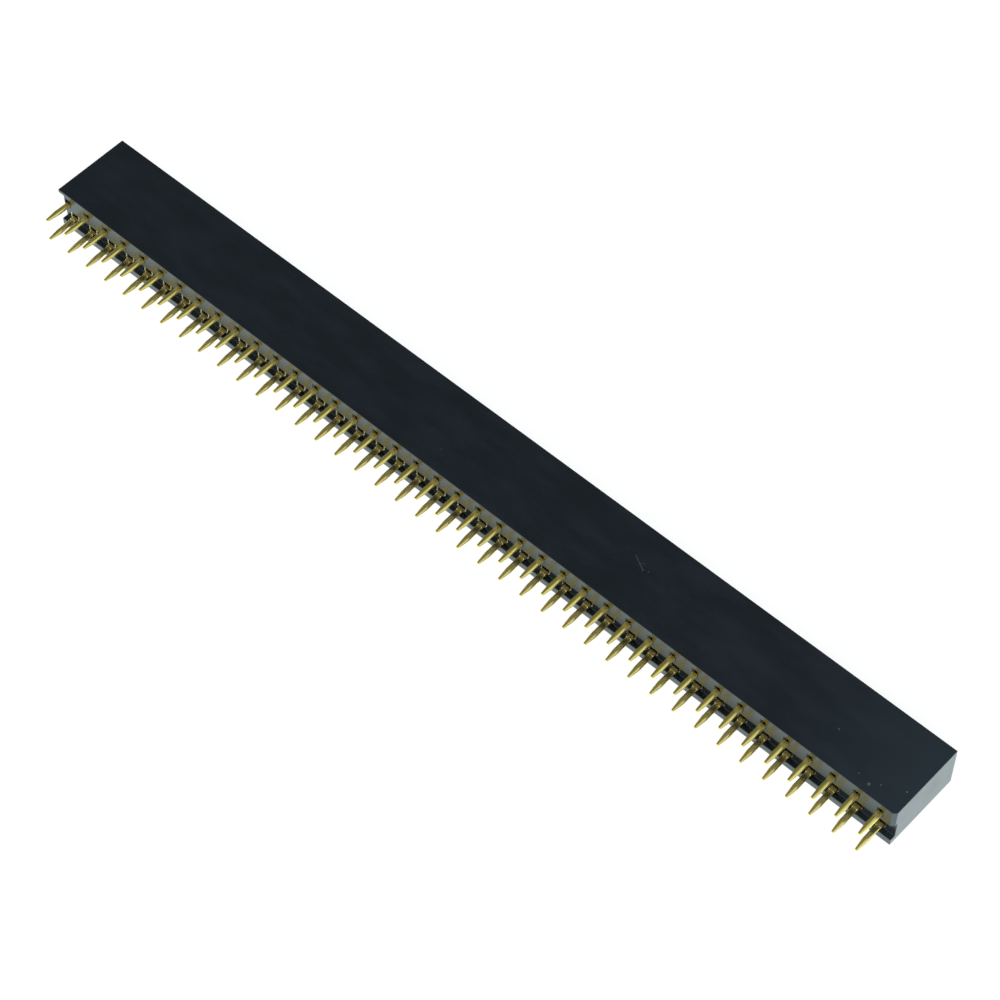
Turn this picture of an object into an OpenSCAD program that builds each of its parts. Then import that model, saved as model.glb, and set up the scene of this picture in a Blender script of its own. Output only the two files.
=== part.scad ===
// Two-row socket strip for pin headers, lying on one long side.
// X runs along the strip, the solder tails point to -Y, the socket mouths face +Y and Z is up.
// The origin is under the middle of the whole strip, tails included.

/* [Strip] */
// Number of contact positions along the strip
positions = 40; // [2:1:40]
// Distance from one contact to the next along the strip
pitch = 2.54; // [2.5:0.01:2.8]
// Distance between the two rows of contacts
row_gap = 2.54; // [2.5:0.01:2.6]
// Distance from the first contact to the left end of the housing
margin_left = 1.21; // [1.15:0.01:3]
// Distance from the last contact to the right end of the housing
margin_right = 1.53; // [1.15:0.01:3]

/* [Housing] */
// Height of the housing from the board to the socket mouths
body_h = 8.5; // [8.2:0.1:12]
// Width of the housing across the two rows
body_w = 5.0; // [4.8:0.05:6.5]
// Depth of the step behind the lower row of tails
step_d = 0.6; // [0.4:0.01:0.7]
// Width of the lip that closes the step at the bottom
lip_w = 0.8; // [0.6:0.05:0.85]
// Width of the flush band that carries the upper row of tails
band_w = 2.15; // [2:0.05:2.4]
// Thickness of the plate that the upper tails pass through
plate_t = 0.3; // [0.2:0.01:0.4]
// Chamfer on the upright edge of the band at the right end
corner_c = 0.32; // [0.1:0.01:0.6]
// Length of the relief in the band at the left end
relief_l = 0.7; // [0.3:0.05:0.8]
// Depth of the relief at the left end
relief_d = 0.5; // [0.2:0.05:0.8]
// Skin left above the relief at the left end
relief_skin = 0.4; // [0.3:0.05:0.8]

/* [Sockets] */
// Height of the spring chamber across the strip
chamber_h = 1.1; // [1:0.05:1.3]
// Lead-in chamfer around each socket mouth
lead_in = 0.25; // [0.1:0.01:0.3]
// Side clearance between a contact and its chamber
chamber_gap = 0.03; // [0.01:0.01:0.08]
// Clearance around a tail in its opening
tail_gap = 0.04; // [0.02:0.01:0.1]

/* [Contacts] */
// Thickness of the contact sheet
sheet_t = 0.18; // [0.15:0.01:0.22]
// Width of a solder tail
tail_w = 0.6; // [0.5:0.01:0.7]
// Length of a solder tail beyond the housing
tail_l = 2.85; // [2.5:0.05:4]
// Distance of the tail axis below the middle of its row
tail_drop = 0.12; // [0:0.01:0.15]
// Outward lean of the tails in degrees
tail_lean = 2; // [0:0.5:2.5]
// Length of the taper at the tip of a tail
tip_l = 1.3; // [0.5:0.05:1.5]
// Width of the blunt tip of a tail
tip_w = 0.28; // [0.2:0.01:0.45]
// Thickness of the blunt tip of a tail
tip_t = 0.2; // [0.15:0.01:0.3]
// Width of the contact base that is pressed into the housing
base_w = 1.2; // [1.1:0.01:1.35]
// Depth of the contact base inside the housing
base_d = 3.2; // [2.6:0.1:3.6]
// Height of the spring leaves across the strip
leaf_h = 0.9; // [0.7:0.05:0.95]
// Gap between the spring leaves where they grip a pin
pinch_gap = 0.45; // [0.3:0.01:0.55]
// Distance from the socket mouth to the grip of the leaves
pinch_depth = 2.1; // [1.6:0.1:2.4]
// Distance from the socket mouth to the tips of the leaves
leaf_depth = 0.8; // [0.4:0.05:1]
// Gap between the flared tips of the leaves
flare_gap = 0.84; // [0.6:0.01:0.9]
// Length of a barb that grips the chamber wall
barb_l = 0.5; // [0.3:0.05:0.8]

/* [Hidden] */
function label(i) = str("contact_pair_", i < 10 ? "0" : "", i);
$fn = 32;

body_l = (positions - 1) * pitch + margin_left + margin_right;
first_x = margin_left - body_l / 2;
face_y = (tail_l - body_h) / 2;
rows = [body_w / 2 - row_gap / 2, body_w / 2 + row_gap / 2];
// A cut runs past the face it opens by this much
over = 0.2;

// The folded tail is two sheets thick, and the base is the upper one of the two
tail_t = 2 * sheet_t;
tail_top = tail_t / 2 - tail_drop;
web_low = tail_top - sheet_t;

// The shoulders widen from the tail at 45 degrees, starting at the inner side of the plate
shoulder = (base_w - tail_w) / 2;
chamber_w = base_w + 2 * chamber_gap;
chamber_top = chamber_h / 2;
shelf_y = base_d + chamber_gap;
drop_y = shelf_y + chamber_gap;
wall_y = plate_t + shoulder;
barb_y = base_d / 2;

// Centre line of a leaf: straight beside the base, in to the grip, then out to the tip.
// The tips stand no wider apart than the base.
leaf_root = base_w / 2 - sheet_t / 2;
leaf_grip = pinch_gap / 2 + sheet_t / 2;
leaf_tip = min(flare_gap + sheet_t, base_w - sheet_t) / 2;
grip_y = body_h - pinch_depth;
tip_y = body_h - leaf_depth;
leaf_steps = 8;
function ease(t) = (1 - cos(180 * t)) / 2;
function blend(a, b, t) = a + (b - a) * t;
leaf_line = concat(
    [[leaf_root, wall_y]],
    [for (i = [0 : leaf_steps])
        [blend(leaf_root, leaf_grip, ease(i / leaf_steps)), blend(base_d, grip_y, i / leaf_steps)]],
    [for (i = [1 : leaf_steps])
        [blend(leaf_grip, leaf_tip, ease(i / leaf_steps / 2) * 2), blend(grip_y, tip_y, i / leaf_steps)]]
);

// Moves to the foot of one contact: the middle of its row, on the tail face
module at_contact(index, row) {
    translate([first_x + (index - 1) * pitch, face_y, rows[row]]) children();
}

// Extrudes an outline drawn in Y and Z along X, centred
module side_profile(points, width) {
    translate([-width / 2, 0, 0]) rotate([90, 0, 90]) linear_extrude(height = width) polygon(points);
}

// Extrudes an outline drawn in X and Y from one height to another
module plan_profile(points, low, high) {
    translate([0, 0, low]) linear_extrude(height = high - low) polygon(points);
}

// Chamber for one contact, with its lead-in at the mouth
module chamber() {
    flare = lead_in + over;
    intersection() {
        side_profile([
            [plate_t, web_low], [shelf_y, web_low], [shelf_y, -chamber_top],
            [body_h - lead_in, -chamber_top], [body_h + over, -chamber_top - flare],
            [body_h + over, chamber_top + flare], [body_h - lead_in, chamber_top],
            [plate_t, chamber_top]
        ], pitch);
        plan_profile([
            [-chamber_w / 2, plate_t], [chamber_w / 2, plate_t],
            [chamber_w / 2, body_h - lead_in], [chamber_w / 2 + flare, body_h + over],
            [-chamber_w / 2 - flare, body_h + over], [-chamber_w / 2, body_h - lead_in]
        ], -row_gap / 2, row_gap / 2);
    }
}

// Opening that one tail comes out of, with a window above the tail
module tail_opening() {
    low = tail_top - tail_t - tail_gap;
    width = tail_w + 2 * tail_gap;
    translate([-width / 2, -over, low]) cube([width, over + wall_y, chamber_top - low]);
}

// Step behind the lower row, open at both ends of the strip
module tail_step() {
    translate([-body_l / 2 - over, face_y - over, lip_w])
        cube([body_l + 2 * over, step_d + over, body_w - band_w - lip_w]);
}

// Relief in the band at the left end, under a thin skin
module end_relief() {
    translate([-body_l / 2 - over, face_y - over, body_w - band_w - over])
        cube([relief_l + over, relief_d + over, band_w + over - relief_skin]);
}

// Chamfered upright edge of the band at the right end
module corner_cut() {
    reach = corner_c + over;
    translate([body_l / 2, face_y, 0])
        plan_profile([[over, -over], [over, corner_c + over], [-reach, -over]], body_w - band_w, body_w + over);
}

// Moulded housing with one chamber for each contact
module housing() {
    color([0.11, 0.13, 0.15])
    difference() {
        translate([-body_l / 2, face_y, 0]) cube([body_l, body_h, body_w]);
        tail_step();
        end_relief();
        corner_cut();
        for (index = [1 : positions], row = [0, 1])
            at_contact(index, row) {
                chamber();
                tail_opening();
            }
    }
}

// Folded solder tail with a blunt tapered tip, leaning by the given angle
module tail(lean) {
    root = plate_t;
    length = tail_l + root;
    translate([0, root, tail_top - tail_t / 2]) rotate([lean, 0, 0])
    intersection() {
        plan_profile([
            [-tail_w / 2, 0], [-tail_w / 2, tip_l - length], [-tip_w / 2, -length],
            [tip_w / 2, -length], [tail_w / 2, tip_l - length], [tail_w / 2, 0]
        ], -tail_t / 2, tail_t / 2);
        side_profile([
            [0, -tail_t / 2], [0, tail_t / 2], [tip_l - length, tail_t / 2], [-length, tip_t / 2],
            [-length, -tip_t / 2], [tip_l - length, -tail_t / 2]
        ], tail_w);
    }
}

// Flat base with 45 degree shoulders and a barb on each side
module base() {
    barb_w = chamber_w / 2;
    plan_profile([
        [-tail_w / 2, plate_t - sheet_t], [tail_w / 2, plate_t - sheet_t], [tail_w / 2, plate_t],
        [base_w / 2, wall_y], [base_w / 2, barb_y], [barb_w, barb_y],
        [base_w / 2, barb_y + barb_l], [base_w / 2, base_d],
        [-base_w / 2, base_d], [-base_w / 2, barb_y + barb_l], [-barb_w, barb_y],
        [-base_w / 2, barb_y], [-base_w / 2, wall_y], [-tail_w / 2, plate_t]
    ], web_low, tail_top);
}

// One spring leaf: a wall that rises beside the base and runs on as a sprung strip
module leaf() {
    outline = concat(
        [for (p = leaf_line) [p[0] + sheet_t / 2, p[1]]],
        [for (i = [len(leaf_line) - 1 : -1 : 0]) [leaf_line[i][0] - sheet_t / 2, leaf_line[i][1]]]
    );
    intersection() {
        plan_profile(outline, -leaf_h / 2, leaf_h / 2);
        side_profile([
            [wall_y, web_low], [drop_y, web_low], [drop_y + leaf_h / 2, -leaf_h / 2],
            [tip_y, -leaf_h / 2], [tip_y, leaf_h / 2], [wall_y, leaf_h / 2]
        ], pitch);
    }
}

// One stamped contact, its tail leaning away from the other row
module contact(lean) {
    union() {
        tail(lean);
        base();
        leaf();
        mirror([1, 0, 0]) leaf();
    }
}

// The two contacts of one position, one in each row
module contact_pair(index) {
    color([0.83, 0.71, 0.36]) {
        at_contact(index, 0) contact(tail_lean);
        at_contact(index, 1) contact(-tail_lean);
    }
}

housing();
for (index = [1 : positions])
    contact_pair(index);
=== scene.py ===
"""Dressed scene of a two-row socket strip for pin headers, lying on a white table.

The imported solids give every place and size.  The moulded housing keeps its solid's form and gains
rounded edges, moulding texture and a few marks of handling.  Each stamped contact is worked out again
as bent sheet with soft edges, and stands for its solid.
"""
from __future__ import annotations

import logging
import math
from dataclasses import dataclass, field
from enum import Enum

import bmesh
import bpy
import numpy as np
from mathutils import Matrix, Vector

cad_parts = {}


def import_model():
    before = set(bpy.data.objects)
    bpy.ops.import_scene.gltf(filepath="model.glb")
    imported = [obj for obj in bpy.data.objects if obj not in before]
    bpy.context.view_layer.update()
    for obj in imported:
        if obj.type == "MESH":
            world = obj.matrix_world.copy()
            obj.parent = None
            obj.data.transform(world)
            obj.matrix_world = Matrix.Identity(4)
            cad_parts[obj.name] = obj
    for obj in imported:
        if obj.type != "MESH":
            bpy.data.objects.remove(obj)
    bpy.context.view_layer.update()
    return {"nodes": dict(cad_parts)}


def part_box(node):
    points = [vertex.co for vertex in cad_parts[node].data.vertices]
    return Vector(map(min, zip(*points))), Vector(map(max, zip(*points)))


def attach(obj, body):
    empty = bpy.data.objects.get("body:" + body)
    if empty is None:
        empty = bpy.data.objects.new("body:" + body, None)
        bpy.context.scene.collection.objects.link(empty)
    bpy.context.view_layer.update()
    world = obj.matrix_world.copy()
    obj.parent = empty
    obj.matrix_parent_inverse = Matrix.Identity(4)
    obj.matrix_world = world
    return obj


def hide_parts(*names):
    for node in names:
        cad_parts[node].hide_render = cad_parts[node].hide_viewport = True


LOG = logging.getLogger("socket_strip")
MM = 0.001


class Slot(Enum):
    """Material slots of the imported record."""

    PLASTIC = "housing_plastic"
    GOLD = "contact_gold"


class Row(Enum):
    """The two rows of contacts, with the side that their tails lean to."""

    LOWER = 1.0
    UPPER = -1.0


class Sock:
    """A shader socket that adds Math nodes when it is used in an expression."""

    def __init__(self, graph: "Graph", socket: bpy.types.NodeSocket) -> None:
        """Wrap a socket.

        Args:
            graph: The graph that new nodes go into.
            socket: The output socket to wrap.
        """
        self.graph = graph
        self.socket = socket

    def _math(self, operation: str, *values: "Sock | float") -> "Sock":
        """Return the result of one Math node."""
        return self.graph.node("ShaderNodeMath", {"operation": operation}, dict(enumerate(values)))

    def __add__(self, other: "Sock | float") -> "Sock":
        """Return the sum."""
        return self._math("ADD", self, other)

    __radd__ = __add__

    def __mul__(self, other: "Sock | float") -> "Sock":
        """Return the product."""
        return self._math("MULTIPLY", self, other)

    def __sub__(self, other: "Sock | float") -> "Sock":
        """Return the difference."""
        return self._math("SUBTRACT", self, other)

    def __rsub__(self, other: float) -> "Sock":
        """Return a number minus this value."""
        return self._math("SUBTRACT", other, self)

    def __truediv__(self, other: "Sock | float") -> "Sock":
        """Return the quotient."""
        return self._math("DIVIDE", self, other)

    def __pow__(self, other: float) -> "Sock":
        """Return this value raised to a power."""
        return self._math("POWER", self, other)

    def abs(self) -> "Sock":
        """Return the size without its sign."""
        return self._math("ABSOLUTE", self)

    def most(self, other: "Sock | float") -> "Sock":
        """Return the larger of two values."""
        return self._math("MAXIMUM", self, other)

    def least(self, other: "Sock | float") -> "Sock":
        """Return the smaller of two values."""
        return self._math("MINIMUM", self, other)

    def part(self) -> "Sock":
        """Return what is left after the whole number is taken away."""
        return self._math("FRACT", self)

    def step(self, low: float, high: float) -> "Sock":
        """Return a smooth 0 to 1 step as this value goes from low to high."""
        settings = {"interpolation_type": "SMOOTHSTEP", "clamp": True}
        inputs = {"Value": self, "From Min": low, "From Max": high}
        return self.graph.node("ShaderNodeMapRange", settings, inputs)

    def within(self, low: float, high: float, soft: float) -> "Sock":
        """Return 1 from low to high and 0 outside, with soft edges that lie inside the range."""
        return self.step(low, low + soft) * (1 - self.step(high - soft, high))


class Graph:
    """The node graph of one material or world."""

    def __init__(self, tree: bpy.types.NodeTree) -> None:
        """Empty a node tree and wrap it.

        Args:
            tree: The tree to fill.
        """
        self.tree = tree
        tree.nodes.clear()

    def node(
        self,
        kind: str,
        settings: dict[str, object] | None = None,
        inputs: dict[str | int, "Sock | float | tuple"] | None = None,
        output: str | int = 0,
    ) -> Sock:
        """Add one node and return one of its outputs.

        Args:
            kind: The node's type name.
            settings: Properties set before the sockets, such as a Math node's operation.
            inputs: A value or a link for each socket that is used.
            output: The output to return.

        Returns:
            The wrapped output socket.
        """
        node = self.tree.nodes.new(kind)
        for name, value in (settings or {}).items():
            setattr(node, name, value)
        for name, value in (inputs or {}).items():
            if isinstance(value, Sock):
                self.tree.links.new(value.socket, node.inputs[name])
            else:
                node.inputs[name].default_value = value
        return Sock(self, node.outputs[output])

    def place(self) -> Sock:
        """Return the Object coordinates, in metres."""
        return self.node("ShaderNodeTexCoord", output="Object")

    def axes(self, vector: Sock) -> tuple[Sock, Sock, Sock]:
        """Return the three parts of a vector."""
        first = self.node("ShaderNodeSeparateXYZ", inputs={0: vector})
        outputs = first.socket.node.outputs
        return first, Sock(self, outputs[1]), Sock(self, outputs[2])

    def stretched(self, vector: Sock, scale: tuple[float, float, float]) -> Sock:
        """Return coordinates scaled by a different amount along each axis."""
        return self.node("ShaderNodeMapping", inputs={"Vector": vector, "Scale": scale})

    def noise(self, vector: Sock, scale: float, detail: float, rough: float = 0.5) -> Sock:
        """Return noise of the given frequency, about 0.5."""
        inputs = {"Vector": vector, "Scale": scale, "Detail": detail, "Roughness": rough}
        return self.node("ShaderNodeTexNoise", inputs=inputs)

    def grains(self, vector: Sock, scale: float) -> Sock:
        """Return the distance to the nearest of scattered points."""
        return self.node("ShaderNodeTexVoronoi", inputs={"Vector": vector, "Scale": scale})

    def tint(self, mask: Sock | float, low: Sock | tuple, high: Sock | tuple) -> Sock:
        """Return a colour that goes from low to high with a mask."""
        return self.node("ShaderNodeMix", {"data_type": "RGBA"}, {"Factor": mask, 6: low, 7: high}, output=2)

    def bump(self, height: Sock, depth: float) -> Sock:
        """Return a normal bent by a height field of the given depth in metres."""
        return self.node("ShaderNodeBump", inputs={"Height": height, "Distance": depth, "Strength": 1.0})

    def finish(self, shader: Sock, kind: str = "ShaderNodeOutputMaterial") -> None:
        """Add the output node and link a shader to its surface."""
        out = self.tree.nodes.new(kind)
        self.tree.links.new(shader.socket, out.inputs["Surface"])


def rgba(color: tuple[float, float, float]) -> tuple[float, float, float, float]:
    """Return a colour with full alpha."""
    return (*color, 1.0)


@dataclass(frozen=True)
class Speck:
    """A small light mark on the top of the housing.

    The place and the size are in millimetres, in the plane of the top.
    """

    x: float
    y: float
    radius: float
    strength: float


@dataclass(frozen=True)
class Scratch:
    """A fine light scratch on the top of the housing, straight from one place to another.

    The places and the width are in millimetres, in the plane of the top.
    """

    start: tuple[float, float]
    end: tuple[float, float]
    width: float
    strength: float


@dataclass(frozen=True)
class MouldedPlastic:
    """Black glass-filled plastic with a faint blue cast and a fine moulded texture.

    A painted sheen makes it a little paler towards the right end, and painted light makes the plate's edges
    grey round the openings of the upper tails.  Lengths and places are in millimetres.  The scale of a
    pattern is the number of its cells in a metre.
    """

    deep: tuple[float, float, float] = (0.0036, 0.0064, 0.0098)
    cloudy: tuple[float, float, float] = (0.0061, 0.0099, 0.0140)
    painted_end_sheen: tuple[float, float, float] = (0.0100, 0.0170, 0.0230)
    painted_rim_light: tuple[float, float, float] = (0.11, 0.115, 0.10)
    mark: tuple[float, float, float] = (0.075, 0.085, 0.095)
    roughness: float = 0.21
    ior: float = 1.56
    grain_depth: float = 0.0025
    cloud_scale: float = 420.0
    fibre_scale: float = 9000.0
    pit_scale: float = 1500.0
    dust_scale: float = 700.0
    patch_scale: float = 260.0
    painted_end_sheen_from: float = 35.0
    painted_end_sheen_to: float = 53.0
    top_from: float = 4.90
    rim_depth: tuple[float, float] = (0.01, 0.29)
    rim_height: tuple[float, float] = (3.2, 4.5)
    rim_reach: float = 49.9
    specks: tuple[Speck, ...] = (
        Speck(47.34, -1.93, 0.18, 1.0),
        Speck(48.15, -1.32, 0.11, 0.7),
        Speck(50.18, -0.38, 0.13, 0.8),
        Speck(42.11, 0.58, 0.14, 0.55),
        Speck(46.06, -1.66, 0.10, 0.5),
        Speck(19.18, 1.68, 0.12, 0.5),
    )
    scratches: tuple[Scratch, ...] = (
        Scratch((17.69, 2.47), (18.50, 2.02), 0.07, 0.34),
        Scratch((18.50, 2.02), (19.18, 1.68), 0.07, 0.42),
        Scratch((18.50, 2.02), (18.92, 2.30), 0.06, 0.26),
    )

    def material(self, face_y: float) -> bpy.types.Material:
        """Return the finish as a node material.

        Args:
            face_y: Place of the tail face, in metres.

        Returns:
            The material.
        """
        made = bpy.data.materials.new(Slot.PLASTIC.value)
        made.use_nodes = True
        graph = Graph(made.node_tree)
        place = graph.place()
        x, y, z = graph.axes(place)
        cloud_place = graph.stretched(place, (0.35, 1.0, 1.0))
        clouds = graph.noise(cloud_place, self.cloud_scale, 5.0, 0.6).step(0.35, 0.7)
        fibres = graph.noise(graph.stretched(place, (0.25, 1.0, 1.0)), self.fibre_scale, 2.0)
        pits = graph.grains(place, self.pit_scale)
        on_top = z.step(self.top_from * MM, (self.top_from + 0.05) * MM)
        marks = self.specked(x, y).most(self.scratched(x, y)) * on_top
        marks = marks.most(self.dusty(graph, place))
        painted_rim_lights = self.painted_rim_light_mask(x, y - face_y, z)
        # Painted sheen: the top is painted a little paler towards the right end, where it mirrors more
        # light.
        end = x.step(self.painted_end_sheen_from * MM, self.painted_end_sheen_to * MM)
        base = graph.tint(clouds, rgba(self.deep), rgba(self.cloudy))
        base = graph.tint(end * 0.95, base, rgba(self.painted_end_sheen))
        # Painted light: the plate's edges in the openings of the upper tails are painted grey as if lit.
        base = graph.tint(painted_rim_lights, base, rgba(self.painted_rim_light))
        height = fibres * 0.5 + pits * 0.5
        inputs = {
            "Base Color": graph.tint(marks, base, rgba(self.mark)),
            "Roughness": self.roughness + clouds * 0.06 + marks * 0.3 + painted_rim_lights * 0.3,
            "IOR": self.ior,
            "Normal": graph.bump(height, self.grain_depth * MM),
        }
        graph.finish(graph.node("ShaderNodeBsdfPrincipled", inputs=inputs))
        return made

    def dusty(self, graph: Graph, place: Sock) -> Sock:
        """Return a mask of scattered dust: round dots, kept where a slow noise is high.

        Args:
            graph: The material's graph.
            place: The Object coordinates.

        Returns:
            The mask, from 0 to 1.
        """
        dots = 1 - graph.grains(place, self.dust_scale).step(0.035, 0.07)
        patches = graph.noise(place, self.patch_scale, 1.0).step(0.60, 0.66)
        return dots * patches * 0.35

    def painted_rim_light_mask(self, x: Sock, inner: Sock, z: Sock) -> Sock:
        """Return a mask of painted light on the plate's edges in the openings of the upper tails.

        Args:
            x: Place along the strip, in metres.
            inner: Depth behind the tail face, in metres.
            z: Height, in metres.

        Returns:
            The mask, from 0 to 1.
        """
        depth = inner.within(self.rim_depth[0] * MM, self.rim_depth[1] * MM, 0.03 * MM)
        height = z.within(self.rim_height[0] * MM, self.rim_height[1] * MM, 0.1 * MM)
        clear_of_ends = 1 - x.abs().step(self.rim_reach * MM, (self.rim_reach + 0.1) * MM)
        return depth * height * clear_of_ends

    def specked(self, x: Sock, y: Sock) -> Sock:
        """Return a mask of the listed specks: one soft round spot for each.

        Args:
            x: Place along the strip, in metres.
            y: Place across the top, in metres.

        Returns:
            The mask, from 0 to 1.
        """
        mask = x * 0.0
        for speck in self.specks:
            away = ((x - speck.x * MM) ** 2.0 + (y - speck.y * MM) ** 2.0) ** 0.5
            spot = 1 - away.step(speck.radius * 0.3 * MM, speck.radius * MM)
            mask = mask.most(spot * speck.strength)
        return mask

    def scratched(self, x: Sock, y: Sock) -> Sock:
        """Return a mask of the listed scratches.

        The nearest point of a scratch lies at a share of its length: the offset from its start,
        projected on its direction and kept between 0 and 1.

        Args:
            x: Place along the strip, in metres.
            y: Place across the top, in metres.

        Returns:
            The mask, from 0 to 1.
        """
        mask = x * 0.0
        for scratch in self.scratches:
            run_x = (scratch.end[0] - scratch.start[0]) * MM
            run_y = (scratch.end[1] - scratch.start[1]) * MM
            off_x, off_y = x - scratch.start[0] * MM, y - scratch.start[1] * MM
            share = ((off_x * run_x + off_y * run_y) / (run_x**2 + run_y**2)).most(0.0).least(1.0)
            away = ((off_x - share * run_x) ** 2.0 + (off_y - share * run_y) ** 2.0) ** 0.5
            line = 1 - away.step(scratch.width * 0.2 * MM, scratch.width * MM)
            mask = mask.most(line * scratch.strength)
        return mask


@dataclass(frozen=True)
class PaleGold:
    """Thin light gold plating over stamped sheet, with faint marks of the stamping.

    The sheet is scuffed where a tail leaves the plate, since the contact was pushed in there.  The lower row
    is painted a little paler as a painted sheen.  The cut front edges of the lower walls carry a painted
    highlight at the left end and painted shade at the right end and low down.  Lengths and places are in
    millimetres.  The scale of a pattern is the number of its cells in a metre.
    """

    bright: tuple[float, float, float] = (0.95, 0.76, 0.215)
    worn: tuple[float, float, float] = (0.90, 0.70, 0.185)
    painted_sheen: tuple[float, float, float] = (0.86, 0.83, 0.60)
    painted_edge_shade: tuple[float, float, float] = (0.12, 0.10, 0.05)
    roughness: float = 0.18
    mark_depth: float = 0.0004
    drawn_scale: float = 4200.0
    wave_scale: float = 1300.0
    stain_scale: float = 900.0
    polish: float = 0.96
    scuffed: float = 0.10
    scuff_from: float = -0.80
    scuff_to: float = -0.40
    lower_painted_sheen: float = 0.20
    step_d: float = 0.57
    rows_part: float = 2.5
    pitch: float = 2.54
    edge_lead: float = 0.04
    edge_half: float = 0.13
    edge_side: float = 0.30
    edge_low: float = 1.20
    edge_high: float = 1.42
    painted_sheen_until: float = -35.0
    painted_edge_shade_from: float = 35.0

    def material(self, first_x: float, face_y: float) -> bpy.types.Material:
        """Return the finish as a node material.

        Args:
            first_x: Place of the first contact along the strip, in metres.
            face_y: Place of the tail face, in metres.

        Returns:
            The material.
        """
        made = bpy.data.materials.new(Slot.GOLD.value)
        made.use_nodes = True
        graph = Graph(made.node_tree)
        place = graph.place()
        x, y, z = graph.axes(place)
        lower = 1 - z.step(self.rows_part * MM, (self.rows_part + 0.1) * MM)
        inner = y - face_y - lower * (self.step_d * MM)
        inside = inner.step(0.0, 0.10 * MM)
        scuff = inner.step(self.scuff_from * MM, self.scuff_to * MM) * (1 - inside)
        drawn = graph.noise(graph.stretched(place, (1.0, 0.10, 1.0)), self.drawn_scale, 1.0)
        waves = graph.noise(place, self.wave_scale, 1.0)
        stains = graph.noise(place, self.stain_scale, 4.0, 0.6).step(0.42, 0.75)
        plating = graph.tint(stains, rgba(self.bright), rgba(self.worn))
        # Painted sheen: the lower row is painted a little paler than the upper row.
        plating = graph.tint(lower * self.lower_painted_sheen, plating, rgba(self.painted_sheen))
        # Painted highlight and shade on the cut edges: pale at the left end, dark at the right end and low
        # down.
        low = 1 - z.step(self.edge_low * MM, self.edge_high * MM)
        painted_edge_shading = x.step(self.painted_sheen_until * MM, self.painted_edge_shade_from * MM).most(low)
        edge = graph.tint(painted_edge_shading, rgba(self.painted_sheen), rgba(self.painted_edge_shade))
        cut = self.cut_edge(x - first_x, inner) * lower
        inputs = {
            "Base Color": graph.tint(cut, plating, edge),
            "Metallic": self.polish + inside * (1 - self.polish) - scuff * self.scuffed,
            "Roughness": self.roughness + stains * 0.08,
            "Normal": graph.bump(drawn * 0.3 + waves, self.mark_depth * MM),
        }
        graph.finish(graph.node("ShaderNodeBsdfPrincipled", inputs=inputs))
        return made

    def cut_edge(self, along: Sock, inner: Sock) -> Sock:
        """Return a mask of the walls' front edges.

        The distance to the nearest contact's middle is the pitch times how far a count of pitches is
        from a whole number.

        Args:
            along: Distance along the strip from the first contact, in metres.
            inner: Depth behind the face that the tail comes out of, in metres.

        Returns:
            The mask, from 0 to 1.
        """
        count = along / (self.pitch * MM) + 0.5
        beside = (count.part() - 0.5).abs() * self.pitch
        away = (inner + self.edge_lead * MM).abs()
        front = 1 - away.step((self.edge_half - 0.03) * MM, self.edge_half * MM)
        return front * beside.step(self.edge_side, self.edge_side + 0.04)


class Shell:
    """Collects grids of points and joins them into one mesh, with edges over 50 degrees kept sharp."""

    SHARP_ANGLE = math.radians(50)

    def __init__(self) -> None:
        """Start with nothing."""
        self.points: list[np.ndarray] = []
        self.faces: list[np.ndarray] = []
        self.caps: list[list[int]] = []
        self.count = 0

    def tube(self, rings: np.ndarray) -> None:
        """Add a closed tube: each ring is joined to the next, and both ends are capped.

        Args:
            rings: Points as rings x points of a ring x 3.  Rings run anticlockwise seen from the far end.
        """
        number, around, _ = rings.shape
        index = self.count + np.arange(number * around).reshape(number, around)
        this, after = index[:-1], index[1:]
        quads = np.stack([this, after, np.roll(after, -1, axis=1), np.roll(this, -1, axis=1)], axis=-1)
        self.points.append(rings.reshape(-1, 3))
        self.faces.append(quads.reshape(-1, 4))
        self.caps.append(index[0].tolist())
        self.caps.append(index[-1][::-1].tolist())
        self.count += number * around

    def build(self, name: str, material: bpy.types.Material) -> bpy.types.Object:
        """Make the object.

        Args:
            name: The piece's name.
            material: The finish of all its faces.

        Returns:
            The object, at the origin, with its place in its mesh.
        """
        mesh = bpy.data.meshes.new(name)
        faces = [face for grid in self.faces for face in grid.tolist()] + self.caps
        mesh.from_pydata(np.concatenate(self.points), [], faces)
        mesh.polygons.foreach_set("use_smooth", np.ones(len(faces), dtype=bool))
        mesh.materials.append(material)
        solid = bmesh.new()
        solid.from_mesh(mesh)
        bmesh.ops.recalc_face_normals(solid, faces=solid.faces)
        solid.to_mesh(mesh)
        solid.free()
        mesh.set_sharp_from_angle(angle=self.SHARP_ANGLE)
        made = bpy.data.objects.new(name, mesh)
        bpy.context.scene.collection.objects.link(made)
        weighted = made.modifiers.new("soft_edges", "WEIGHTED_NORMAL")
        weighted.keep_sharp = True
        return made


def ease(t: np.ndarray) -> np.ndarray:
    """Return half a cosine wave: 0 at 0, 1 at 1, level at both."""
    return (1 - np.cos(np.pi * np.clip(t, 0, 1))) / 2


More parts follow.
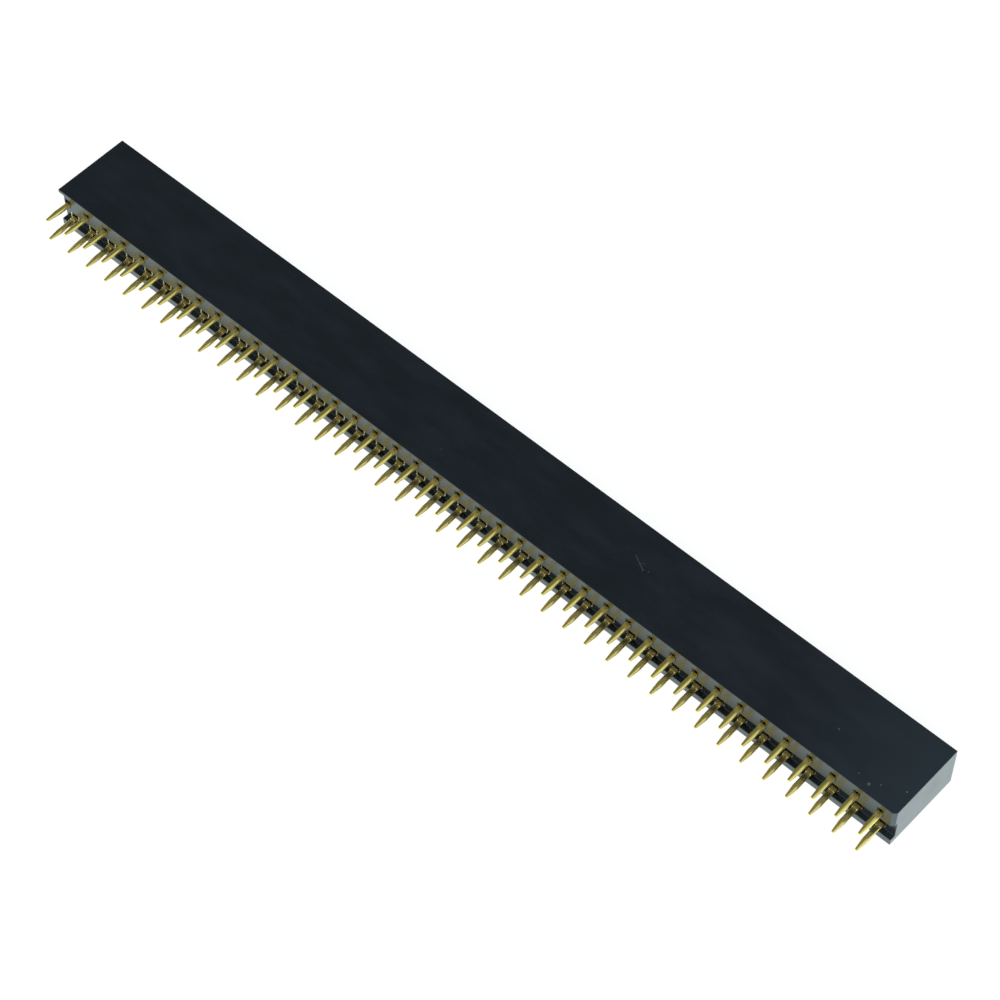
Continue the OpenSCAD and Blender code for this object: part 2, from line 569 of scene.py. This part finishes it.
def rounded_ring(half_w: np.ndarray, half_t: np.ndarray, radius: float, steps: int = 3) -> np.ndarray:
    """Return rounded rectangles, one for each pair of half sizes.

    Each corner is a quarter circle about a centre that lies one radius inside both sides.

    Args:
        half_w: Half width of each ring.
        half_t: Half thickness of each ring.
        radius: Corner radius, cut down where a ring is too small for it.
        steps: Edges in each corner.

    Returns:
        Points as rings x points x 2.
    """
    angles = (np.arange(4)[:, None] * 90 + np.linspace(0, 90, steps + 1)[None, :]).ravel() * np.pi / 180
    side_x = np.repeat([1, -1, -1, 1], steps + 1)
    side_y = np.repeat([1, 1, -1, -1], steps + 1)
    corner = np.minimum(radius, np.minimum(half_w, half_t) * 0.9)[:, None]
    across = side_x * (half_w[:, None] - corner) + corner * np.cos(angles)
    through = side_y * (half_t[:, None] - corner) + corner * np.sin(angles)
    return np.stack([across, through], axis=-1)


@dataclass
class Contact:
    """One stamped spring contact, in millimetres from its foot on the tail face.

    The foot is the middle of its row on the tail face, with +Y into the housing.
    """

    plate_t: float = 0.30
    sheet_t: float = 0.18
    tail_w: float = 0.60
    tail_l: float = 2.85
    tail_drop: float = 0.12
    tail_lean: float = 2.0
    tip_l: float = 1.30
    tip_w: float = 0.28
    tip_t: float = 0.20
    seam: float = 0.03
    base_w: float = 1.20
    base_d: float = 3.20
    leaf_h: float = 0.90
    grip_y: float = 6.40
    tip_y: float = 7.70
    pinch_gap: float = 0.45
    flare_gap: float = 0.84
    bend_r: float = 0.13
    barb_y: float = 1.60
    barb_l: float = 0.50
    barb_out: float = 0.03
    # The tail runs this far in behind the plate, and its nose starts this far from its end
    root_in: float = 0.12
    nose_l: float = 0.06
    # Places of the nose's rings, back from the end, and what each takes off the half sizes
    nose_back: tuple[float, ...] = (0.03, 0.01, 0.0)
    nose_cut: tuple[float, ...] = (0.010, 0.026, 0.045)
    # Powers of the tail's curve at the fold and at the sheets' ends, and the seam's half angle in radians
    fold_power: float = 2.3
    ends_power: float = 3.0
    seam_angle: float = 0.15
    # The base laps back under the tail, its shoulders start behind the plate, and the walls start early
    lap: float = 0.10
    shoulder_in: float = 0.10
    wall_lead: float = 0.02
    # Over these lengths a wall rises to its full height, and its front edge thins to a share of the sheet
    rise_l: float = 0.03
    edge_l: float = 0.07
    edge_share: float = 0.5
    # Bend angles in radians past which the sheet counts as edge and as wall
    edge_angle: float = 0.8
    wall_angle: float = 1.2
    # Overlap of a leaf with its wall, start of its drop, rounding of its tip and its corner radius
    leaf_lap: float = 0.25
    drop_in: float = 0.06
    tip_round: float = 0.06
    tip_back: tuple[float, ...] = (0.05, 0.015, 0.0)
    leaf_corner: float = 0.05

    @property
    def tail_top(self) -> float:
        """Height of the upper side of the tail and the base."""
        return self.sheet_t - self.tail_drop

    def tail(self, lean: float) -> np.ndarray:
        """Work out the folded tail as rings from its root to its tip.

        Each ring is a closed curve of the form |x/w|^n + |z/t|^n = 1.  The power n is low on the folded
        side, which makes it round, and high on the side where the two sheets end, which makes it square
        there, with a shallow seam between the sheets.  The half width w and half thickness t are
        constant, then fall in a straight line over the taper, and round off at the very end.  The whole
        is turned about its root.

        Args:
            lean: Angle in degrees that the tip drops by.

        Returns:
            Points as rings x points x 3.
        """
        root = self.plate_t + self.root_in
        shank = np.linspace(root, self.tip_l - self.tail_l, 10)
        taper = np.linspace(self.tip_l - self.tail_l, -self.tail_l + self.nose_l, 9)[1:]
        nose = -self.tail_l + np.array(self.nose_back)
        along = np.concatenate([shank, taper, nose])
        slim = np.clip((self.tip_l - self.tail_l - along) / self.tip_l, 0, 1)
        half_w = (self.tail_w + (self.tip_w - self.tail_w) * slim) / 2
        half_t = (2 * self.sheet_t + (self.tip_t - 2 * self.sheet_t) * slim) / 2
        blunt = np.concatenate([np.zeros(len(along) - len(self.nose_cut)), self.nose_cut])
        angle = np.linspace(0, 2 * np.pi, 33)[:-1]
        power = np.where(np.cos(angle) > 0, self.fold_power, self.ends_power)
        shape_x = np.sign(np.cos(angle)) * np.abs(np.cos(angle)) ** (2 / power)
        shape_z = np.sign(np.sin(angle)) * np.abs(np.sin(angle)) ** (2 / power)
        seam = self.seam * np.clip(1 - np.abs(angle - np.pi) / self.seam_angle, 0, 1)
        across = (half_w - blunt)[:, None] * shape_x + seam * (1 - slim[:, None])
        ring = np.stack([across, (half_t - blunt)[:, None] * shape_z], axis=-1)
        turn = math.radians(lean)
        deep = (along - self.plate_t)[:, None]
        middle = self.tail_top - self.sheet_t
        y = self.plate_t + deep * math.cos(turn) - ring[..., 1] * math.sin(turn)
        z = middle + deep * math.sin(turn) + ring[..., 1] * math.cos(turn)
        return np.stack([ring[..., 0], y, z], axis=-1)

    def channel(self) -> np.ndarray:
        """Work out the base: a sheet that widens from the tail and bends up into two side walls.

        A distance d from the middle line, measured along the sheet, lies on the flat web up to the bend,
        then on a quarter circle, then on the upright wall.  How far d reaches grows from the tail's half
        width to the full developed width, which gives the flared shoulders.  The front edges of the walls
        thin out along a quarter of an ellipse.

        Returns:
            Points as rings x points x 3.
        """
        middle = self.tail_top - self.sheet_t / 2
        flat = self.base_w / 2 - self.sheet_t / 2 - self.bend_r
        bend = self.bend_r * math.pi / 2
        rise = self.leaf_h / 2 - middle - self.bend_r
        full = flat + bend + rise
        flare_y = self.plate_t + self.shoulder_in
        wall_y = self.plate_t + (self.base_w - self.tail_w) / 2 - self.wall_lead
        y = np.concatenate([
            [self.plate_t - self.lap],
            np.linspace(self.plate_t, wall_y - 0.01, 8),
            np.linspace(wall_y, wall_y + 0.10, 11),
            np.linspace(wall_y + 0.22, self.base_d, 13),
        ])
        widen = np.clip((y - flare_y) / (wall_y - flare_y), 0, 1)
        shoulder = self.tail_w / 2 + ((self.base_w - self.tail_w) / 2 - self.wall_lead) * widen
        reach = shoulder + (full - shoulder) * ease((y - wall_y) / self.rise_l)
        d = reach[:, None] * np.linspace(-1, 1, 23)[None, :]
        size = np.abs(d)
        angle = np.clip((size - flat) / self.bend_r, 0, math.pi / 2)
        out = np.minimum(size, flat) + self.bend_r * np.sin(angle)
        up = middle + self.bend_r * (1 - np.cos(angle)) + np.maximum(size - flat - bend, 0)
        barb = np.clip(1 - (y - self.barb_y) / self.barb_l, 0, 1) * (y >= self.barb_y) * self.barb_out
        out = out + barb[:, None] * (angle > self.wall_angle)
        side = np.sign(d)
        before = np.clip(1 - (y - wall_y) / self.edge_l, 0, 1)
        thin = np.sqrt(1 - before**2 * (1 - self.edge_share**2))[:, None]
        half = self.sheet_t / 2 * np.where(angle > self.edge_angle, thin, 1.0)
        outer_x, outer_z = side * (out + half * np.sin(angle)), up - half * np.cos(angle)
        inner_x, inner_z = side * (out - half * np.sin(angle)), up + half * np.cos(angle)
        ring_x = np.concatenate([outer_x, inner_x[:, ::-1]], axis=1)
        ring_z = np.concatenate([outer_z, inner_z[:, ::-1]], axis=1)
        ring_y = np.repeat(y[:, None], ring_x.shape[1], axis=1)
        return np.stack([ring_x, ring_y, ring_z], axis=-1)

    def leaf(self, side: float) -> np.ndarray:
        """Work out one spring leaf as rings from the base to its flared tip.

        Its centre line runs straight beside the base, eases in to the grip and out to the tip.  Its
        lower edge drops over the first stretch, so that the leaf is as high below the row as above it.

        Args:
            side: 1 for the leaf on the +X side, -1 for the other.

        Returns:
            Points as rings x points x 3.
        """
        root = self.base_w / 2 - self.sheet_t / 2
        grip = (self.pinch_gap + self.sheet_t) / 2
        tip = (self.flare_gap + self.sheet_t) / 2
        y = np.concatenate([
            np.linspace(self.base_d - self.leaf_lap, self.base_d, 3)[:-1],
            np.linspace(self.base_d, self.grip_y, 16)[:-1],
            np.linspace(self.grip_y, self.tip_y - self.tip_back[0], 9)[:-1],
            self.tip_y - np.array(self.tip_back),
        ])
        inward = ease((y - self.base_d) / (self.grip_y - self.base_d))
        outward = ease((y - self.grip_y) / (self.tip_y - self.grip_y) / 2) * 2
        x = root + (grip - root) * inward + (tip - grip) * np.where(y > self.grip_y, outward, 0)
        low_start = self.tail_top - self.sheet_t
        drop = np.clip((y - self.base_d - self.drop_in) / (self.leaf_h / 2), 0, 1)
        low = low_start + (-self.leaf_h / 2 - low_start) * drop
        shut = np.clip(1 - (self.tip_y - y) / self.tip_round, 0, 1) ** 2 * self.tip_round
        high = self.leaf_h / 2
        ring = rounded_ring(self.sheet_t / 2 - shut * 0.6, (high - low) / 2 - shut, self.leaf_corner, 2)
        across = side * (x[:, None] + ring[..., 0])
        up = ((high + low) / 2)[:, None] + ring[..., 1]
        return np.stack([across, np.repeat(y[:, None], ring.shape[1], axis=1), up], axis=-1)

    def shells(self, row: Row) -> list[np.ndarray]:
        """Return all closed shells of one contact."""
        return [self.tail(row.value * self.tail_lean), self.channel(), self.leaf(1.0), self.leaf(-1.0)]


@dataclass
class Contacts:
    """The contacts of the whole strip, one piece for each position."""

    row_gap: float = 2.54
    contact: Contact = field(default_factory=Contact)

    def feet(self, name: str, face_y: float) -> dict[Row, np.ndarray]:
        """Work out where the two contacts of one position stand.

        Args:
            name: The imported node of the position.
            face_y: Place of the tail face, in metres.

        Returns:
            The foot of each row's contact, in metres.
        """
        low, high = (np.array(corner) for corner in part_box(name))
        housing = np.array(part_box("housing"))
        middle_z = housing[:, 2].mean()
        middle_x = (low[0] + high[0]) / 2
        half = self.row_gap * MM / 2
        return {
            Row.LOWER: np.array([middle_x, face_y, middle_z - half]),
            Row.UPPER: np.array([middle_x, face_y, middle_z + half]),
        }

    def build(self, names: list[str], face_y: float, gold: bpy.types.Material) -> list[bpy.types.Object]:
        """Make every contact pair and let it stand for its solid.

        Args:
            names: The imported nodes, one for each position.
            face_y: Place of the tail face, in metres.
            gold: The finish.

        Returns:
            The new pieces.
        """
        made = []
        for name in names:
            shell = Shell()
            for row, foot in self.feet(name, face_y).items():
                for rings in self.contact.shells(row):
                    shell.tube(rings * MM + foot)
            piece = shell.build(name.replace("pair", "set"), gold)
            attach(piece, "root")
            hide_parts(name)
            made.append(piece)
        return made


@dataclass
class Housing:
    """The moulded housing, with rounded edges.

    The radius is in millimetres and the angles are in degrees.  Points closer than the merge distance, in
    metres, become one, and faces that meet at less than the flat angle are joined.
    """

    edge_radius: float = 0.045
    edge_angle: float = 30.0
    flat_angle: float = 0.5
    merge: float = 1e-7

    def build(self, node: bpy.types.Object, plastic: bpy.types.Material) -> bpy.types.Object:
        """Make the housing from its solid's own faces, with every sharp edge rounded.

        Args:
            node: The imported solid.
            plastic: The finish.

        Returns:
            The new piece.
        """
        solid = bmesh.new()
        solid.from_mesh(node.data)
        bmesh.ops.remove_doubles(solid, verts=solid.verts, dist=self.merge)
        flat = math.radians(self.flat_angle)
        bmesh.ops.dissolve_limit(
            solid, angle_limit=flat, verts=solid.verts, edges=solid.edges, delimit={"NORMAL"}
        )
        solid.verts.index_update()
        places = [tuple(vert.co) for vert in solid.verts]
        faces = [[vert.index for vert in face.verts] for face in solid.faces]
        solid.free()
        mesh = bpy.data.meshes.new("moulded_housing")
        mesh.from_pydata(places, [], faces)
        mesh.materials.append(plastic)
        mesh.polygons.foreach_set("use_smooth", np.ones(len(mesh.polygons), dtype=bool))
        made = bpy.data.objects.new("moulded_housing", mesh)
        bpy.context.scene.collection.objects.link(made)
        bevel = made.modifiers.new("rounded_edges", "BEVEL")
        bevel.width = self.edge_radius * MM
        bevel.segments = 2
        bevel.limit_method = "ANGLE"
        bevel.angle_limit = math.radians(self.edge_angle)
        bevel.use_clamp_overlap = False
        bevel.harden_normals = True
        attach(made, "root")
        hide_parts("housing")
        return made


@dataclass
class Studio:
    """White table, soft light and the camera.

    The camera's places are in millimetres, its roll is in degrees, and the table is in metres.  The
    strip mirrors the table.  Close before the tails, that mirror image is dim and yellow from their own
    shade, over a stretch that is given in millimetres.
    """

    camera_at: tuple[float, float, float] = (113.56, -122.61, 235.52)
    camera_aim: tuple[float, float, float] = (3.67, 0.09, 2.50)
    camera_roll: float = 0.498
    lens: float = 113.89
    table_size: float = 3.0
    paper: tuple[float, float, float] = (0.93, 0.93, 0.93)
    white: tuple[float, float, float] = (1.0, 1.0, 1.0)
    mirrored_floor: tuple[float, float, float] = (0.86, 1.0, 1.0)
    mirrored_shade: tuple[float, float, float] = (0.38, 0.39, 0.22)
    mirrored_glow: float = 1.45
    seen_glow: float = 1.07
    mirrored_share: float = 0.95
    seen_share: float = 0.84
    shade_from: float = -5.4
    shade_full: float = -4.2
    shade_to: float = -3.2
    shade_reach: float = 50.5
    ceiling: tuple[float, float, float] = (0.13, 0.14, 0.13)
    wall: tuple[float, float, float] = (0.90, 1.08, 1.26)
    front: tuple[float, float, float] = (1.15, 1.22, 1.22)

    def camera(self) -> bpy.types.Object:
        """Make the camera that looks down on the tail side from the right."""
        data = bpy.data.cameras.new("camera")
        data.lens = self.lens
        data.sensor_width = 36.0
        data.clip_start = 0.005
        data.clip_end = 20.0
        made = bpy.data.objects.new("camera", data)
        bpy.context.scene.collection.objects.link(made)
        start, aim = Vector(self.camera_at) * MM, Vector(self.camera_aim) * MM
        turn = (aim - start).to_track_quat("-Z", "Y").to_matrix()
        roll = Matrix.Rotation(math.radians(self.camera_roll), 3, "Z")
        made.matrix_world = Matrix.Translation(start) @ (turn @ roll).to_4x4()
        bpy.context.scene.camera = made
        return made

    def table_finish(self) -> bpy.types.Material:
        """Return the table's finish: white paper that also glows to the camera and in mirror images.

        Other rays see plain paper.  The glow is stronger in mirror images than to the camera.

        Returns:
            The material.
        """
        made = bpy.data.materials.new("white_table")
        made.use_nodes = True
        graph = Graph(made.node_tree)
        seen = graph.node("ShaderNodeLightPath", output="Is Camera Ray")
        outputs = seen.socket.node.outputs
        mirrored = Sock(graph, outputs["Is Glossy Ray"]).most(Sock(graph, outputs["Is Transmission Ray"]))
        x, y, _ = graph.axes(graph.place())
        along = 1 - x.abs().step(self.shade_reach * MM, (self.shade_reach + 0.5) * MM)
        before = 1 - y.step((self.shade_to - 0.1) * MM, self.shade_to * MM)
        shade = y.step(self.shade_from * MM, self.shade_full * MM) * before * along
        floor = graph.tint(shade, rgba(self.mirrored_floor), rgba(self.mirrored_shade))
        color = graph.tint(seen, floor, rgba(self.white))
        strength = self.mirrored_glow - seen * (self.mirrored_glow - self.seen_glow)
        glow = graph.node("ShaderNodeEmission", inputs={"Color": color, "Strength": strength})
        paper = graph.node("ShaderNodeBsdfDiffuse", inputs={"Color": rgba(self.paper), "Roughness": 0.5})
        share = (seen * self.seen_share).most(mirrored * self.mirrored_share)
        graph.finish(graph.node("ShaderNodeMixShader", inputs={0: share, 1: paper, 2: glow}))
        return made

    def table(self) -> bpy.types.Object:
        """Make the white table, which shows nearly pure white to the camera and in reflections."""
        half = self.table_size / 2
        mesh = bpy.data.meshes.new("table")
        corners = [(-half, -half, 0), (half, -half, 0), (half, half, 0), (-half, half, 0)]
        mesh.from_pydata(corners, [], [(0, 1, 2, 3)])
        mesh.materials.append(self.table_finish())
        made = bpy.data.objects.new("table", mesh)
        bpy.context.scene.collection.objects.link(made)
        return made

    def sky(self) -> None:
        """Set the surroundings: a dim ceiling, bluish walls, three panels in the north and a bright front.

        East, north and up are the parts of a direction.  The walls fade out upwards and towards the west.
        The panels stand side by side from west to east, and the front is the south, where the camera is.
        The camera itself sees plain white.
        """
        world = bpy.data.worlds.new("studio")
        bpy.context.scene.world = world
        world.use_nodes = True
        graph = Graph(world.node_tree)
        east, north, up = graph.axes(graph.node("ShaderNodeTexCoord", output="Generated"))
        walls = (1 - up.step(0.20, 0.68)) * east.step(-0.85, -0.25)
        west_panel = east.step(-0.26, -0.18) * 0.22
        middle_panel = east.step(-0.12, 0.02) * 0.36
        east_panel = east.step(0.20, 0.55) * 0.31
        panels = west_panel + middle_panel + east_panel
        lit = walls.most(panels * north.step(-0.20, 0.25))
        dim = graph.tint(lit, rgba(self.ceiling), rgba(self.wall))
        light = graph.tint((0 - north).step(0.05, 0.40), dim, rgba(self.front))
        seen = graph.node("ShaderNodeLightPath", output="Is Camera Ray")
        color = graph.tint(seen, light, rgba(self.white))
        shown = graph.node("ShaderNodeBackground", inputs={"Color": color, "Strength": 1.0})
        graph.finish(shown, "ShaderNodeOutputWorld")

    def lamp(self, name: str, at: tuple[float, float, float], size: float, power: float) -> bpy.types.Object:
        """Make one soft lamp that faces the strip.

        Args:
            name: The lamp's name.
            at: Its place, in metres.
            size: Its side, in metres.
            power: Its power, in watts.

        Returns:
            The lamp.
        """
        data = bpy.data.lights.new(name, "AREA")
        data.shape = "SQUARE"
        data.size = size
        data.energy = power
        made = bpy.data.objects.new(name, data)
        bpy.context.scene.collection.objects.link(made)
        start = Vector(at)
        turn = (-start).to_track_quat("-Z", "Y").to_matrix().to_4x4()
        made.matrix_world = Matrix.Translation(start) @ turn
        made.visible_glossy = False
        return made

    def build(self) -> None:
        """Make the table, the surroundings, the lamps and the camera."""
        self.camera()
        self.table()
        self.sky()
        self.lamp("key", (0.35, -0.55, 0.60), 0.40, 2.8)
        self.lamp("fill", (-0.70, -0.20, 0.45), 0.50, 1.8)


def main() -> None:
    """Build the scene piece by piece."""
    logging.basicConfig(level=logging.INFO, format="%(name)s: %(message)s")
    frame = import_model()
    bpy.context.scene.view_settings.view_transform = "Standard"
    Studio().build()
    LOG.info("studio ready")
    face_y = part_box("housing")[0][1]
    plastic = MouldedPlastic().material(face_y)
    housing = Housing().build(frame["nodes"]["housing"], plastic)
    LOG.info("%s ready", housing.name)
    names = sorted(name for name in frame["nodes"] if name.startswith("contact_pair"))
    first_x = (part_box(names[0])[0][0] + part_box(names[0])[1][0]) / 2
    gold = PaleGold().material(first_x, face_y)
    for piece in Contacts().build(names, face_y, gold):
        LOG.info("%s ready", piece.name)


if __name__ == "__main__":
    main()
